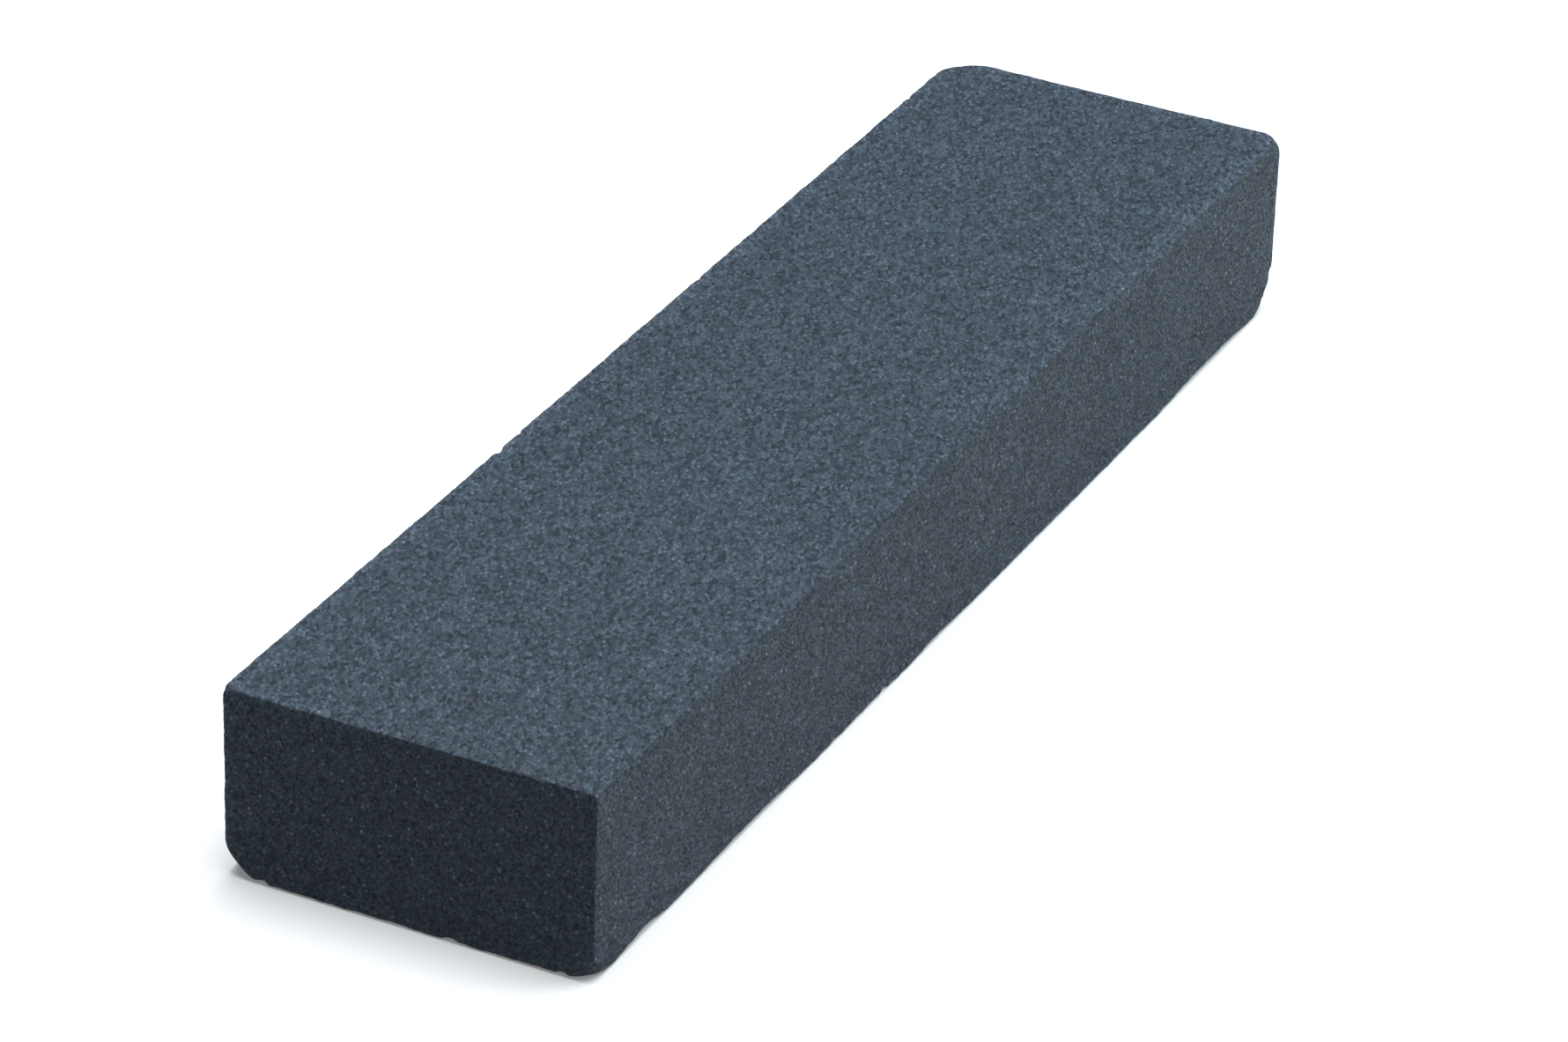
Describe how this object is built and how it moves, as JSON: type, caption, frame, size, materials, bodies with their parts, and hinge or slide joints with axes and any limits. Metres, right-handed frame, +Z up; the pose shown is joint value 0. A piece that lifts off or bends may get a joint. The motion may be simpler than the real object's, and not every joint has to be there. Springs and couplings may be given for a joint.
{
  "type": "sharpening whetstone",
  "caption": "Plain rectangular bench whetstone of dark grey-blue silicon carbide, with worn corners, laid flat to sharpen carving knives, gouges and chisels on its broad faces.",
  "frame": {"origin": "centre of the underside, where the stone rests on the bench", "axes": "+X along the length, +Y across the width, +Z up, out of the upper honing face"},
  "size_m": [0.2, 0.05, 0.026],
  "materials": {
    "abrasive": "matt, gritty, dark slate-blue vitrified silicon carbide with fine light and dark grains"
  },
  "bodies": {
    "root": {"abrasive_block": "abrasive"}
  },
  "joints": []
}
